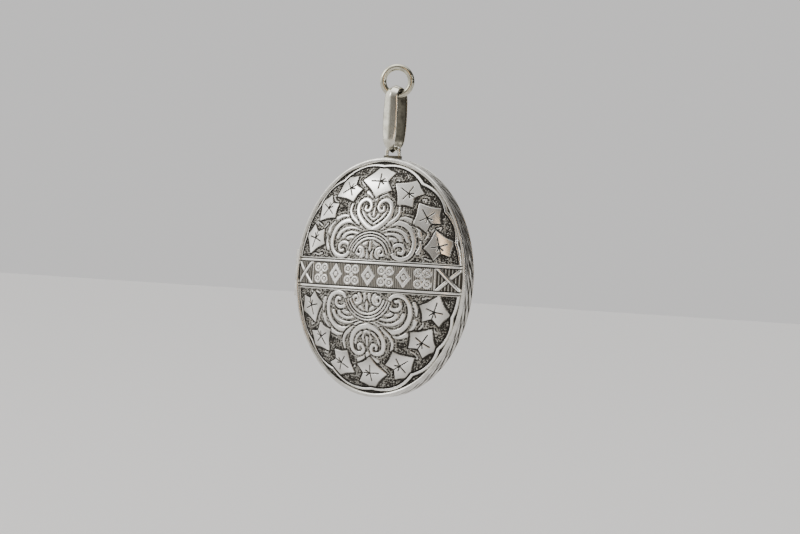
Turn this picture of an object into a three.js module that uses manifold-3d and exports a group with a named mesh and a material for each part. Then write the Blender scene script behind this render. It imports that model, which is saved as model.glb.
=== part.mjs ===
// Oval picture locket in engraved silver, hanging from a bail and a round chain ring.
// Millimetres, +Z up. The origin is the centre of the chain ring. The front cover faces -Y,
// and the case hangs below the ring with its long axis along Z.

import * as THREE from 'three';
import { mergeVertices } from 'three/addons/utils/BufferGeometryUtils.js';
import Module from 'manifold-3d';

const wasm = await Module();
wasm.setup();

// ---- driving dimensions (mm) ----------------------------------------------------------------

const fit = 0.1;              // clearance between two pieces that touch or run on each other
const joint = 0.05;           // soldered seam between two fixed pieces

const caseHalfHeight = 25.3;  // the oval outline, from its centre to its top
const ovalRatio = 0.797;      // width of the oval divided by its height
const rimSetback = 2.75;      // the front rim's plane lies this far before the ring's centre

const bandDepth = 1.55;       // each half's side band, from the parting plane outwards
const bandWall = 0.7;
const parting = 2.0;          // parting plane, behind the front rim's plane
const domeHeight = 5.6;       // front cover, from the rim's plane to the crown
const domePower = 1.4;        // how square-shouldered the front dome is
const backHeight = 2.4;       // back cover, from its seam to its flat middle
const backFlat = 5.5;         // half height of that flat middle
const backInset = 0.2;        // the back dome springs this far inside the outline
const backStep = 0.3;         // from its seam to the foot of its dome
const backLedge = 0.5;        // flat ledge inside the foot of the dome
const coverWall = 0.45;
const rimWidth = 1.0;         // bright round bead that edges the front cover

const flangeWall = 0.4;       // snap rim that the front half closes over
const flangeRise = 1.0;       // its height above the parting plane
const plateThick = 0.3;
const cardThick = 0.2;
const glassThick = 0.36;
const frameWall = 0.6;        // picture frame, L-shaped in section
const frameRoom = 0.5;        // lets the snap rim swing past the frame as the lid opens
const frameLip = 1.0;
const lipThick = 0.25;

const knuckleRadius = 0.8;
const hingeLength = 10;
const pinRadius = 0.35;
const hingeOffset = 0.45;     // from the case's side out to the hinge pin's axis

const nickLength = 6;         // thumbnail nick in the opening edge
const nickDepth = 0.35;
const nickHeight = 3;         // its middle, above the oval's centre

const ringRadius = 2.98;      // centre line of the chain ring
const ringWire = 0.7;         // wire radius
const ringTurn = THREE.MathUtils.degToRad(22);  // the ring hangs turned about the vertical

const bailHeight = 14.45;
const bailDepth = 5.7;
const bailThick = 0.7;
const bailTopWidth = 2.6;
const bailMiddleWidth = 3.4;

const eyeWire = 0.4;          // wire radius
const eyeGap = 2.1;           // clear width between the eye's two legs
const eyeCorner = 0.75;       // bend radius of the eye's centre line
const collarWall = 0.3;       // metal beyond the eye's legs at the collar's two ends
const collarDepth = 1.5;
const collarHeight = 0.55;    // from its top down to the top of the case
const collarDrop = 1.75;      // from the eye's top wire down to the collar's top

const ovalSteps = 64;
const domeSteps = 9;
const barSides = 24;

// ---- sizes that follow from them -------------------------------------------------------------

const caseHalfWidth = caseHalfHeight * ovalRatio;
const bandInside = caseHalfHeight - bandWall;
const flangeOutside = bandInside - fit;
const frameOutside = flangeOutside - flangeWall - frameRoom;
const cardRadius = frameOutside - frameWall - fit;
const frontSeam = parting - bandDepth - joint;
const backSeam = 2 * parting - frontSeam;
const hingeX = -(caseHalfWidth + hingeOffset);
const bailLowWidth = eyeGap - 3 * fit;
const collarLength = eyeGap + 4 * eyeWire + 2 * collarWall;
const bailTop = bailSeat() + fit + bailThick;
const bailBottom = bailTop - bailHeight;
const eyeAxisZ = bailBottom + bailThick + fit + eyeWire;
const caseDrop = caseHalfHeight + collarHeight + collarDrop - eyeAxisZ;

// The height at which the round top of the bail's loop rests on the chain ring. The ring's wire
// curves up towards the strip's two edges, and it crosses the loop at the ring's own angle.
function bailSeat() {
  const loop = bailDepth / 2 - bailThick;
  let seat = -Infinity;
  for (let i = -20; i <= 20; i += 1) {
    const across = ((i / 20) * bailTopWidth) / 2;
    for (let k = 0; k <= 12; k += 1) {
      const angle = (k / 12) * Math.PI;
      const radius = ringRadius - ringWire * Math.sin(angle);
      const side = ringWire * Math.cos(angle);
      const along = (across + side * Math.sin(ringTurn)) / Math.cos(ringTurn);
      const depth = along * Math.sin(ringTurn) + side * Math.cos(ringTurn);
      const wireTop = -Math.sqrt(radius ** 2 - along ** 2);
      seat = Math.max(seat, wireTop + loop - Math.sqrt(loop ** 2 - depth ** 2));
    }
  }
  return seat;
}

// ---- materials -------------------------------------------------------------------------------

const metal = (color, roughness) => new THREE.MeshStandardMaterial({ color, roughness, metalness: 1 });
const engravedSilver = metal(0x9d988c, 0.34);
const plainSilver = metal(0xb9b6ae, 0.28);
const polishedSilver = metal(0xc9c6bb, 0.16);
const darkSilver = metal(0x6d6757, 0.42);
const paleBrass = metal(0xb79a62, 0.3);
const card = new THREE.MeshStandardMaterial({ color: 0xcbbd9c, roughness: 0.85, metalness: 0 });
const glass = new THREE.MeshStandardMaterial({
  color: 0xe6efec, roughness: 0.05, metalness: 0, transparent: true, opacity: 0.25,
});

// ---- solids and meshes -----------------------------------------------------------------------

// A closed mesh as one solid, its seams merged and its faces pointing out.
function solid(geometry) {
  const bare = geometry.clone();
  bare.deleteAttribute('normal');
  bare.deleteAttribute('uv');
  const merged = mergeVertices(bare, 1e-5);
  const index = merged.index.array;
  const triangles = [];
  for (let i = 0; i < index.length; i += 3) {
    const [a, b, c] = [index[i], index[i + 1], index[i + 2]];
    if (a !== b && b !== c && c !== a) triangles.push(a, b, c);
  }
  const make = (triVerts) => new wasm.Manifold(new wasm.Mesh({
    numProp: 3,
    vertProperties: new Float32Array(merged.attributes.position.array),
    triVerts: new Uint32Array(triVerts),
  }));
  const made = make(triangles);
  return made.volume() > 0 ? made : make(triangles.reverse());
}

// A named mesh from a manifold solid.
function meshOf(name, shape, material) {
  const { vertProperties, numProp, triVerts } = shape.getMesh();
  const positions = new Float32Array((vertProperties.length / numProp) * 3);
  for (let i = 0; i < positions.length / 3; i += 1) {
    for (let k = 0; k < 3; k += 1) positions[3 * i + k] = vertProperties[numProp * i + k];
  }
  const geometry = new THREE.BufferGeometry();
  geometry.setAttribute('position', new THREE.BufferAttribute(positions, 3));
  geometry.setIndex(new THREE.BufferAttribute(new Uint32Array(triVerts), 1));
  geometry.computeVertexNormals();
  const mesh = new THREE.Mesh(geometry, material);
  mesh.name = name;
  return mesh;
}

// A profile of [half height, depth] points, turned about the Y axis and narrowed to the oval.
function ovalTurned(profile) {
  const points = profile.map(([r, y]) => new THREE.Vector2(r, y));
  const first = points[0];
  if (first.x > 0) points.push(first.clone());
  const turned = new THREE.LatheGeometry(points, ovalSteps);
  turned.scale(ovalRatio, 1, 1);
  return solid(turned);
}

// An oval ring of rectangular section, between two half heights and two depths.
function ovalRing(inside, outside, front, back) {
  return ovalTurned([[inside, front], [outside, front], [outside, back], [inside, back]]);
}

function ovalDisc(radius, front, back) {
  return ovalTurned([[0, front], [radius, front], [radius, back], [0, back]]);
}

// A round bar along Z.
function bar(radius, length, x, y, z) {
  const cylinder = new THREE.CylinderGeometry(radius, radius, length, barSides);
  cylinder.rotateX(Math.PI / 2);
  cylinder.translate(x, y, z);
  return solid(cylinder);
}

// Mirrors a depth in the parting plane, which turns a front half's depth into a back half's.
const mirrored = (y) => 2 * parting - y;

// ---- covers ----------------------------------------------------------------------------------

// The half height and depth of a square-shouldered dome, from its foot to its crown.
function domeCurve(foot, height, footDepth) {
  const points = [];
  for (let i = 0; i < domeSteps; i += 1) {
    const angle = (i / domeSteps) * (Math.PI / 2);
    points.push([foot * Math.cos(angle), footDepth - height * Math.sin(angle) ** domePower]);
  }
  points.push([0, footDepth - height]);
  return points;
}

function frontCover() {
  const beadRadius = rimWidth / 2;
  const fieldFoot = caseHalfHeight - rimWidth;
  const bead = [];
  for (let i = 0; i <= 6; i += 1) {
    const angle = (i / 6) * Math.PI;
    bead.push([caseHalfHeight - beadRadius + beadRadius * Math.cos(angle), -beadRadius * Math.sin(angle)]);
  }
  const outside = domeCurve(fieldFoot, domeHeight, 0).slice(1).reverse();
  const inside = domeCurve(fieldFoot - coverWall, domeHeight - coverWall, 0);
  return ovalTurned([
    ...outside,
    ...bead.reverse(),
    [caseHalfHeight, frontSeam],
    [fieldFoot - coverWall, frontSeam],
    ...inside,
  ]);
}

// The half height and depth of the back's dome, from its foot to its flat middle.
function backCurve(foot, height) {
  const points = [];
  for (let i = 0; i < domeSteps - 1; i += 1) {
    const angle = (i / (domeSteps - 1)) * (Math.PI / 2);
    const across = backFlat + (foot - backFlat) * Math.cos(angle);
    points.push([across, backSeam + backStep + height * Math.sin(angle)]);
  }
  return points;
}

function backCover() {
  const outerFoot = caseHalfHeight - backInset;
  const innerFoot = outerFoot - coverWall - backLedge;
  const crown = backSeam + backStep + backHeight;
  return ovalTurned([
    [0, crown],
    [backFlat, crown],
    ...backCurve(outerFoot, backHeight).reverse(),
    [caseHalfHeight, backSeam + backStep / 2],
    [caseHalfHeight, backSeam],
    [innerFoot, backSeam],
    ...backCurve(innerFoot, backHeight - coverWall),
    [backFlat, crown - coverWall],
    [0, crown - coverWall],
  ]);
}

// ---- side bands, hinge and nick --------------------------------------------------------------

function sideBand(front, back) {
  const groove = bar(knuckleRadius + fit, hingeLength + 2 * fit, hingeX, parting, 0);
  const nail = new THREE.SphereGeometry(1, 24, 12);
  nail.scale(nickDepth, nickDepth, nickLength / 2);
  nail.translate(caseHalfWidth, parting, nickHeight);
  return ovalRing(bandInside, caseHalfHeight, front, back).subtract(groove).subtract(solid(nail));
}

// Hinge knuckle number 0, 1 or 2, counted from the bottom, bored for the pin.
function knuckle(number) {
  const pitch = hingeLength / 3;
  const z = (number - 1) * pitch;
  const tube = bar(knuckleRadius, pitch - fit, hingeX, parting, z);
  return tube.subtract(bar(pinRadius + joint, pitch, hingeX, parting, z));
}

// ---- picture fittings, the same in both halves ------------------------------------------------

// The depths of one half's fittings, from its cover towards the parting plane.
const plateFront = frontSeam + joint;
const cardFront = plateFront + plateThick + joint;
const glassFront = cardFront + cardThick + joint;
const lipFront = glassFront + glassThick + joint;

function pictureFrame(turn) {
  const wallInside = frameOutside - frameWall;
  return ovalTurned([
    [wallInside, turn(cardFront)],
    [frameOutside, turn(cardFront)],
    [frameOutside, turn(lipFront + lipThick)],
    [wallInside - frameLip, turn(lipFront + lipThick)],
    [wallInside - frameLip, turn(lipFront)],
    [wallInside, turn(lipFront)],
  ]);
}

function fittings(half, turn) {
  const plate = ovalDisc(bandInside - fit, turn(plateFront), turn(plateFront + plateThick));
  const picture = ovalDisc(cardRadius, turn(cardFront), turn(cardFront + cardThick));
  const pane = ovalDisc(cardRadius, turn(glassFront), turn(glassFront + glassThick));
  return [
    meshOf(`${half}_picture_plate`, plate, plainSilver),
    meshOf(`${half}_picture_card`, picture, card),
    meshOf(`${half}_glass`, pane, glass),
    meshOf(`${half}_picture_frame`, pictureFrame(turn), paleBrass),
  ];
}

// ---- ring, bail and eye ----------------------------------------------------------------------

function chainRing() {
  const torus = new THREE.TorusGeometry(ringRadius, ringWire, 14, 40);
  torus.rotateX(Math.PI / 2);
  return solid(torus);
}

// A closed outline with round ends, in the plane of depth (u) and height (v).
function roundEnded(halfDepth, top, bottom) {
  const outline = new THREE.Shape();
  outline.absarc(0, top - halfDepth, halfDepth, 0, Math.PI, false);
  outline.absarc(0, bottom + halfDepth, halfDepth, Math.PI, 2 * Math.PI, false);
  outline.closePath();
  return outline;
}

// A flat strip bent into a long loop, its width swelling in the middle.
function bail() {
  const outline = roundEnded(bailDepth / 2, bailTop, bailBottom);
  outline.holes.push(roundEnded(bailDepth / 2 - bailThick, bailTop - bailThick, bailBottom + bailThick));
  const widest = Math.max(bailTopWidth, bailMiddleWidth, bailLowWidth) + 1;
  const strip = new THREE.ExtrudeGeometry(outline, {
    depth: widest, bevelEnabled: false, curveSegments: 14,
  });
  strip.translate(0, 0, -widest / 2);
  strip.applyMatrix4(new THREE.Matrix4().set(0, 0, 1, 0, 1, 0, 0, 0, 0, 1, 0, 0, 0, 0, 0, 1));

  const middle = (bailTop + bailBottom) / 2;
  const [top, mid, low] = [bailTopWidth / 2, bailMiddleWidth / 2, bailLowWidth / 2];
  const side = new THREE.SplineCurve([
    new THREE.Vector2(top, bailTop + 1),
    new THREE.Vector2(top, bailTop),
    new THREE.Vector2(mid, middle),
    new THREE.Vector2(low, bailBottom),
    new THREE.Vector2(low, bailBottom - 1),
  ]).getPoints(24);
  const left = side.map((point) => new THREE.Vector2(-point.x, point.y)).reverse();
  const front = new THREE.Shape([...side, ...left]);
  const depth = bailDepth + 2;
  const barrel = new THREE.ExtrudeGeometry(front, { depth, bevelEnabled: false });
  barrel.translate(0, 0, -depth / 2);
  barrel.rotateX(Math.PI / 2);
  return solid(strip).intersect(solid(barrel));
}

// The eye's centre line: up one leg, across the top and down the other, from a given depth.
function eyePath(foot) {
  const half = eyeGap / 2 + eyeWire;
  const path = new THREE.CurvePath();
  const bend = (x, side) => new THREE.QuadraticBezierCurve3(
    new THREE.Vector3(side < 0 ? x : x - eyeCorner, 0, side < 0 ? eyeAxisZ - eyeCorner : eyeAxisZ),
    new THREE.Vector3(x, 0, eyeAxisZ),
    new THREE.Vector3(side < 0 ? x + eyeCorner : x, 0, side < 0 ? eyeAxisZ : eyeAxisZ - eyeCorner),
  );
  path.add(new THREE.LineCurve3(
    new THREE.Vector3(-half, 0, foot),
    new THREE.Vector3(-half, 0, eyeAxisZ - eyeCorner),
  ));
  path.add(bend(-half, -1));
  path.add(new THREE.LineCurve3(
    new THREE.Vector3(-half + eyeCorner, 0, eyeAxisZ),
    new THREE.Vector3(half - eyeCorner, 0, eyeAxisZ),
  ));
  path.add(bend(half, 1));
  path.add(new THREE.LineCurve3(
    new THREE.Vector3(half, 0, eyeAxisZ - eyeCorner),
    new THREE.Vector3(half, 0, foot),
  ));
  return path;
}

function eyeLoop(wire, foot) {
  const section = new THREE.Shape();
  section.absarc(0, 0, wire, 0, 2 * Math.PI, false);
  return solid(new THREE.ExtrudeGeometry(section, {
    steps: 40, curveSegments: 7, extrudePath: eyePath(foot), bevelEnabled: false,
  }));
}

// A small block between the eye and the back half's side band, its foot curved to the band.
function eyeCollar() {
  const top = eyeAxisZ - collarDrop;
  const bottom = top - 2 * collarHeight;
  const block = new THREE.Shape();
  block.absellipse(0, 0, collarLength / 2, collarDepth / 2, 0, 2 * Math.PI, false, 0);
  const body = new THREE.ExtrudeGeometry(block, {
    depth: top - bottom, bevelEnabled: false, curveSegments: 16,
  });
  body.translate(0, 0, bottom);
  const seat = ovalDisc(caseHalfHeight + joint, -collarDepth, collarDepth).translate([0, 0, -caseDrop]);
  const legs = eyeLoop(eyeWire + joint, bottom - collarHeight);
  return solid(body).subtract(seat).subtract(legs);
}

// ---- assembly --------------------------------------------------------------------------------

const locket = new THREE.Group();

const ring = meshOf('chain_ring', chainRing(), polishedSilver);
ring.rotation.z = ringTurn;
locket.add(ring);
locket.add(meshOf('bail', bail(), polishedSilver));

const eyeFoot = -caseDrop + caseHalfHeight + joint;
locket.add(meshOf('eye_loop', eyeLoop(eyeWire, eyeFoot), polishedSilver));
locket.add(meshOf('eye_collar', eyeCollar(), darkSilver));

const pocket = new THREE.Group();
pocket.position.set(0, -rimSetback, -caseDrop);
locket.add(pocket);

pocket.add(meshOf('front_cover', frontCover(), engravedSilver));
pocket.add(meshOf('front_side_band', sideBand(frontSeam + joint, parting - joint), engravedSilver));
pocket.add(...fittings('front', (y) => y));
pocket.add(meshOf('front_hinge_knuckle', knuckle(1), plainSilver));

pocket.add(meshOf('back_cover', backCover(), plainSilver));
pocket.add(meshOf('back_side_band', sideBand(parting + joint, backSeam - joint), engravedSilver));
const flangeInside = flangeOutside - flangeWall;
const flange = ovalRing(flangeInside, flangeOutside, parting - flangeRise, parting + flangeRise);
pocket.add(meshOf('closing_flange', flange, plainSilver));
pocket.add(...fittings('back', mirrored));
pocket.add(meshOf('back_hinge_knuckle_top', knuckle(2), plainSilver));
pocket.add(meshOf('back_hinge_knuckle_bottom', knuckle(0), plainSilver));
pocket.add(meshOf('hinge_pin', bar(pinRadius, hingeLength, hingeX, parting, 0), polishedSilver));

export default locket;
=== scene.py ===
import math

import bmesh
import bpy
import numpy as np
from mathutils import Matrix, Vector


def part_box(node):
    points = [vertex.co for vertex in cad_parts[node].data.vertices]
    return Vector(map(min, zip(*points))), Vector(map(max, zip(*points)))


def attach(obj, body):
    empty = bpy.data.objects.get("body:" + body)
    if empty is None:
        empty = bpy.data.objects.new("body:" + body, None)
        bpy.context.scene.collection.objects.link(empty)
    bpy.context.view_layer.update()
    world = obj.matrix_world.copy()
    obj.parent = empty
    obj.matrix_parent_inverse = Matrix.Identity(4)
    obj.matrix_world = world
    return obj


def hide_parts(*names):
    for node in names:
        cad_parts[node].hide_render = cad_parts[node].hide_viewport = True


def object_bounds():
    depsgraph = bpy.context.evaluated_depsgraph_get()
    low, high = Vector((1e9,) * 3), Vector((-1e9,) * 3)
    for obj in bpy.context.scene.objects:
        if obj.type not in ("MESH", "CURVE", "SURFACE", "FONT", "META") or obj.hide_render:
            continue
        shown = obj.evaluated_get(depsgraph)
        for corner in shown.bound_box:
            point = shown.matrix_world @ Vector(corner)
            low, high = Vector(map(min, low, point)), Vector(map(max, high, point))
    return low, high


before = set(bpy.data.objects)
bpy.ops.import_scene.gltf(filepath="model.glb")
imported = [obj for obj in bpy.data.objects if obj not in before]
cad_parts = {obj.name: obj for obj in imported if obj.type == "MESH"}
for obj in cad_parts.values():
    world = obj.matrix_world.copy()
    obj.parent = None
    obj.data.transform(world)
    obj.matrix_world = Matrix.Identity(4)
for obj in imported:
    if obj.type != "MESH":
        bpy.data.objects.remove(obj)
cad_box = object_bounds()


# ---- chain ring ------------------------------------------------------------------------------
# The round ring that takes the neck chain: drawn silver wire bent round, its ends soldered, and
# polished. Everything below hangs from it, and it sits turned towards one side.

MM = 0.001


def group_of(name, inputs, outputs):
    """An empty shader node group with the named value inputs and outputs."""
    made = bpy.data.node_groups.new(name, "ShaderNodeTree")
    for socket, default in inputs.items():
        added = made.interface.new_socket(socket, in_out="INPUT", socket_type="NodeSocketFloat")
        added.default_value = default
    for socket in outputs:
        made.interface.new_socket(socket, in_out="OUTPUT", socket_type="NodeSocketFloat")
    return made, made.nodes.new("NodeGroupInput"), made.nodes.new("NodeGroupOutput")


def wire(tree, source, target):
    tree.links.new(source, target)


# Cloudy tarnish: how far the silver has dulled, from 0 to 1.
tarnish, given, result = group_of("tarnish", {"Scale": 200.0, "Amount": 0.5}, ["Mask"])
place = tarnish.nodes.new("ShaderNodeTexCoord")
cloud = tarnish.nodes.new("ShaderNodeTexNoise")
cloud.inputs["Detail"].default_value = 5
cloud.inputs["Roughness"].default_value = 0.62
spread = tarnish.nodes.new("ShaderNodeMapRange")
spread.inputs["From Min"].default_value = 0.38
spread.inputs["From Max"].default_value = 0.72
scaled = tarnish.nodes.new("ShaderNodeMath")
scaled.operation = "MULTIPLY"
wire(tarnish, place.outputs["Object"], cloud.inputs["Vector"])
wire(tarnish, given.outputs["Scale"], cloud.inputs["Scale"])
wire(tarnish, cloud.outputs["Fac"], spread.inputs["Value"])
wire(tarnish, spread.outputs["Result"], scaled.inputs[0])
wire(tarnish, given.outputs["Amount"], scaled.inputs[1])
wire(tarnish, scaled.outputs["Value"], result.inputs["Mask"])

# Hairline scratches and small dings from wear, as a height from 0 to 1.
scratches, given, result = group_of("wear_scratches", {"Scale": 900.0}, ["Height"])
place = scratches.nodes.new("ShaderNodeTexCoord")
stretch = scratches.nodes.new("ShaderNodeMapping")
stretch.inputs["Rotation"].default_value = (0.4, 0.7, 0.5)
stretch.inputs["Scale"].default_value = (1, 0.08, 1)
lines = scratches.nodes.new("ShaderNodeTexNoise")
lines.inputs["Detail"].default_value = 3
dings = scratches.nodes.new("ShaderNodeTexNoise")
dings.inputs["Detail"].default_value = 1
ding_scale = scratches.nodes.new("ShaderNodeMath")
ding_scale.operation = "MULTIPLY"
ding_scale.inputs[1].default_value = 0.3
both = scratches.nodes.new("ShaderNodeMath")
both.operation = "ADD"
wire(scratches, place.outputs["Object"], stretch.inputs["Vector"])
wire(scratches, stretch.outputs["Vector"], lines.inputs["Vector"])
wire(scratches, given.outputs["Scale"], lines.inputs["Scale"])
wire(scratches, given.outputs["Scale"], ding_scale.inputs[0])
wire(scratches, place.outputs["Object"], dings.inputs["Vector"])
wire(scratches, ding_scale.outputs["Value"], dings.inputs["Scale"])
wire(scratches, lines.outputs["Fac"], both.inputs[0])
wire(scratches, dings.outputs["Fac"], both.inputs[1])
wire(scratches, both.outputs["Value"], result.inputs["Height"])


def silver_finish(
        name, bright, dull, roughness, tarnish_amount, tarnish_scale, scratch_depth=0.02 * MM):
    """Worn silver: two tones mixed by tarnish, with roughness and scratches that follow it."""
    made = bpy.data.materials.new(name)
    made.use_nodes = True
    tree = made.node_tree
    shader = tree.nodes["Principled BSDF"]
    shader.inputs["Metallic"].default_value = 1
    clouds = tree.nodes.new("ShaderNodeGroup")
    clouds.node_tree = tarnish
    clouds.inputs["Scale"].default_value = tarnish_scale
    clouds.inputs["Amount"].default_value = tarnish_amount
    tone = tree.nodes.new("ShaderNodeMix")
    tone.data_type = "RGBA"
    tone.inputs[6].default_value = (*bright, 1)
    tone.inputs[7].default_value = (*dull, 1)
    gloss = tree.nodes.new("ShaderNodeMapRange")
    gloss.inputs["To Min"].default_value = roughness[0]
    gloss.inputs["To Max"].default_value = roughness[1]
    hairlines = tree.nodes.new("ShaderNodeGroup")
    hairlines.node_tree = scratches
    hairlines.inputs["Scale"].default_value = 1400
    bump = tree.nodes.new("ShaderNodeBump")
    bump.inputs["Strength"].default_value = 0.35
    bump.inputs["Distance"].default_value = scratch_depth
    wire(tree, clouds.outputs["Mask"], tone.inputs[0])
    wire(tree, tone.outputs[2], shader.inputs["Base Color"])
    wire(tree, clouds.outputs["Mask"], gloss.inputs["Value"])
    wire(tree, gloss.outputs["Result"], shader.inputs["Roughness"])
    wire(tree, hairlines.outputs["Height"], bump.inputs["Height"])
    wire(tree, bump.outputs["Normal"], shader.inputs["Normal"])
    return made


def finished(name, shape, material, body, slot, *nodes):
    """Turns a bmesh into a smooth-shaded piece that rides on a body and stands for CAD nodes."""
    mesh = bpy.data.meshes.new(name)
    shape.to_mesh(mesh)
    shape.free()
    mesh.shade_smooth()
    mesh.materials.append(material)
    piece = bpy.data.objects.new(name, mesh)
    bpy.context.collection.objects.link(piece)
    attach(piece, body)
    if nodes:
        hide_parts(*nodes)
    return piece


def swept(stations, closed):
    """A tube on given stations, each a ring of points. It is closed into a loop, or capped."""
    sides = len(stations[0])
    spans = len(stations) if closed else len(stations) - 1
    shape = bmesh.new()
    bmesh.ops.create_grid(shape, x_segments=spans, y_segments=sides, size=1)
    shape.verts.ensure_lookup_table()
    order = sorted(shape.verts, key=lambda v: (round(v.co.x, 5), round(v.co.y, 5)))
    for k, vert in enumerate(order):
        vert.co = stations[(k // (sides + 1)) % len(stations)][k % (sides + 1) % sides]
    bmesh.ops.remove_doubles(shape, verts=shape.verts, dist=1e-7)
    if not closed:
        bmesh.ops.holes_fill(shape, edges=shape.edges, sides=sides)
    bmesh.ops.recalc_face_normals(shape, faces=shape.faces)
    return shape


polished_silver = silver_finish(
    "polished silver", (0.78, 0.76, 0.67), (0.36, 0.34, 0.26), (0.12, 0.32), 0.85, 420)

ring_turn = math.radians(22)
ring_wire = 0.7 * MM
ring_low, ring_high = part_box("chain_ring")
ring_radius = (ring_high.z - ring_low.z) / 2 - ring_wire
ring_shape = bmesh.new()
bmesh.ops.create_circle(ring_shape, segments=28, radius=ring_wire)
bmesh.ops.rotate(ring_shape, verts=ring_shape.verts, matrix=Matrix.Rotation(math.pi / 2, 3, "Y"))
bmesh.ops.translate(ring_shape, verts=ring_shape.verts, vec=(0, 0, ring_radius))
bmesh.ops.spin(
    ring_shape, geom=ring_shape.edges[:], cent=(0, 0, 0), axis=(0, 1, 0),
    angle=2 * math.pi, steps=120, use_merge=True)
bmesh.ops.rotate(ring_shape, verts=ring_shape.verts, matrix=Matrix.Rotation(ring_turn, 3, "Z"))
bmesh.ops.recalc_face_normals(ring_shape, faces=ring_shape.faces)
ring_silver = silver_finish(
    "ring silver", (0.60, 0.58, 0.47), (0.20, 0.19, 0.14), (0.12, 0.32), 0.85, 420)
finished("wire_chain_ring", ring_shape, ring_silver, "ring", "polished_silver", "chain_ring")


# ---- bail ------------------------------------------------------------------------------------
# A strip of silver, ridged along its outer face, bent into a long loop and soldered shut. It is
# widest in the middle and narrows to the eye below. The chain ring passes through its top.

bail_low, bail_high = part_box("bail")
bail_half_depth = (bail_high.y - bail_low.y) / 2
bail_wall = 0.7 * MM
bail_edge_wall = 0.16 * MM
bail_edge_round = 0.1 * MM
bail_half_widths = (1.3 * MM, 1.7 * MM, 0.9 * MM)
bail_outer_points = 15
bail_inner_points = 9
bail_stations = 180
bail_middle = (bail_low.z + bail_high.z) / 2
bail_straight = (bail_high.z - bail_low.z) / 2 - bail_half_depth


def bail_half_width(z):
    """Half width at a height: a smooth swell from the top, to the middle, to the bottom."""
    top, middle, bottom = bail_half_widths
    t = (z - bail_middle) / (bail_high.z - bail_middle)
    end = top if t > 0 else bottom
    return end + (middle - end) * (1 - abs(t) ** 2.2)


def bail_station(t):
    """The section of the strip at one place round the loop, as a ring of points."""
    quarter = math.pi * bail_half_depth / 2
    length = 4 * (quarter + bail_straight)
    s = t * length
    runs = [2 * bail_straight, 2 * quarter, 2 * bail_straight, 2 * quarter]
    run = 0
    while run < 3 and s > runs[run]:
        s -= runs[run]
        run += 1
    if run in (0, 2):
        side = -1 if run == 0 else 1
        foot = Vector((0, side * bail_half_depth, bail_middle - side * (s - bail_straight)))
        out = Vector((0, side, 0))
    else:
        angle = s / bail_half_depth
        side = 1 if run == 1 else -1
        out = Vector((0, -math.cos(angle) * side, math.sin(angle) * side))
        foot = Vector((0, 0, bail_middle + side * bail_straight)) + out * bail_half_depth
    width = bail_half_width(foot.z)
    section = []
    for k in range(bail_outer_points):
        a = -1 + 2 * k / (bail_outer_points - 1)
        drop = (bail_wall - bail_edge_wall) * abs(a) ** 1.08
        round_off = bail_edge_round * max(0, (abs(a) - 0.8) / 0.2) ** 2
        section.append(foot + Vector((width * a, 0, 0)) - out * (drop + round_off))
    for k in range(bail_inner_points):
        a = 1 - 2 * k / (bail_inner_points - 1)
        section.append(foot + Vector((width * a * 0.97, 0, 0)) - out * bail_wall)
    return section


# A near-black silver that paints shade: on the faces inside the bail's loop and on the eye's collar
# under the bail.
painted_shade_silver = silver_finish(
    "painted shade silver", (0.15, 0.14, 0.11), (0.035, 0.032, 0.025), (0.3, 0.55), 0.9, 900, 0.03 * MM)
bail_shape = swept([bail_station(k / bail_stations) for k in range(bail_stations)], closed=True)
# Faces that look into the loop get the near-black finish: painted shade inside the bail.
for face in bail_shape.faces:
    middle = face.calc_center_median()
    core_z = min(max(middle.z, bail_middle - bail_straight), bail_middle + bail_straight)
    inwards = Vector((0, -middle.y, core_z - middle.z))
    face.material_index = int(face.normal.dot(inwards.normalized()) > 0.8)
ridged_bail = finished("ridged_bail", bail_shape, polished_silver, "bail", "polished_silver", "bail")
ridged_bail.data.materials.append(painted_shade_silver)


# ---- eye and collar --------------------------------------------------------------------------
# A staple of silver wire whose legs stand in a small soldered collar on top of the case. The
# bail's narrow end passes under its bridge. The collar is painted near-black: painted shade
# under the bail.

eye_low, eye_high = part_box("eye_loop")
eye_wire = 0.4 * MM
eye_half = (eye_high.x - eye_low.x) / 2 - eye_wire
eye_corner = 0.75 * MM
eye_sides = 20
eye_top = eye_high.z - eye_wire
eye_middle_y = (eye_low.y + eye_high.y) / 2


def eye_line():
    """The staple's centre line, with its direction, up one leg and down the other."""
    line = []
    for k in range(6):
        line.append((-eye_half, eye_low.z + (eye_top - eye_corner - eye_low.z) * k / 6, 0))
    for k in range(13):
        a = math.pi / 2 * k / 12
        inset, drop = eye_corner * (1 - math.cos(a)), eye_corner * (1 - math.sin(a))
        line.append((-eye_half + inset, eye_top - drop, a))
    right = [(-x, z, math.pi - a) for x, z, a in reversed(line)]
    return line + right


eye_stations = []
for x, z, a in eye_line():
    out = Vector((-math.cos(a), 0, math.sin(a)))
    turn = [2 * math.pi * k / eye_sides for k in range(eye_sides)]
    eye_stations.append([
        Vector((x, eye_middle_y, z)) + eye_wire * (out * math.cos(b) + Vector((0, math.sin(b), 0)))
        for b in turn])
finished(
    "staple_eye", swept(eye_stations, closed=False), polished_silver, "case", "polished_silver",
    "eye_loop")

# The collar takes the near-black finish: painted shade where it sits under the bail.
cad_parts["eye_collar"].data.materials.clear()
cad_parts["eye_collar"].data.materials.append(painted_shade_silver)


# ---- front cover -----------------------------------------------------------------------------
# The lid's domed front: thin sheet silver, raised and chased from the face. Ivy leaves run round
# both halves inside a scalloped line, scrollwork fills the middle, and a band crosses the centre
# between two raised lines. The raised parts are polished and the ground is matted and oxidised.

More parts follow.
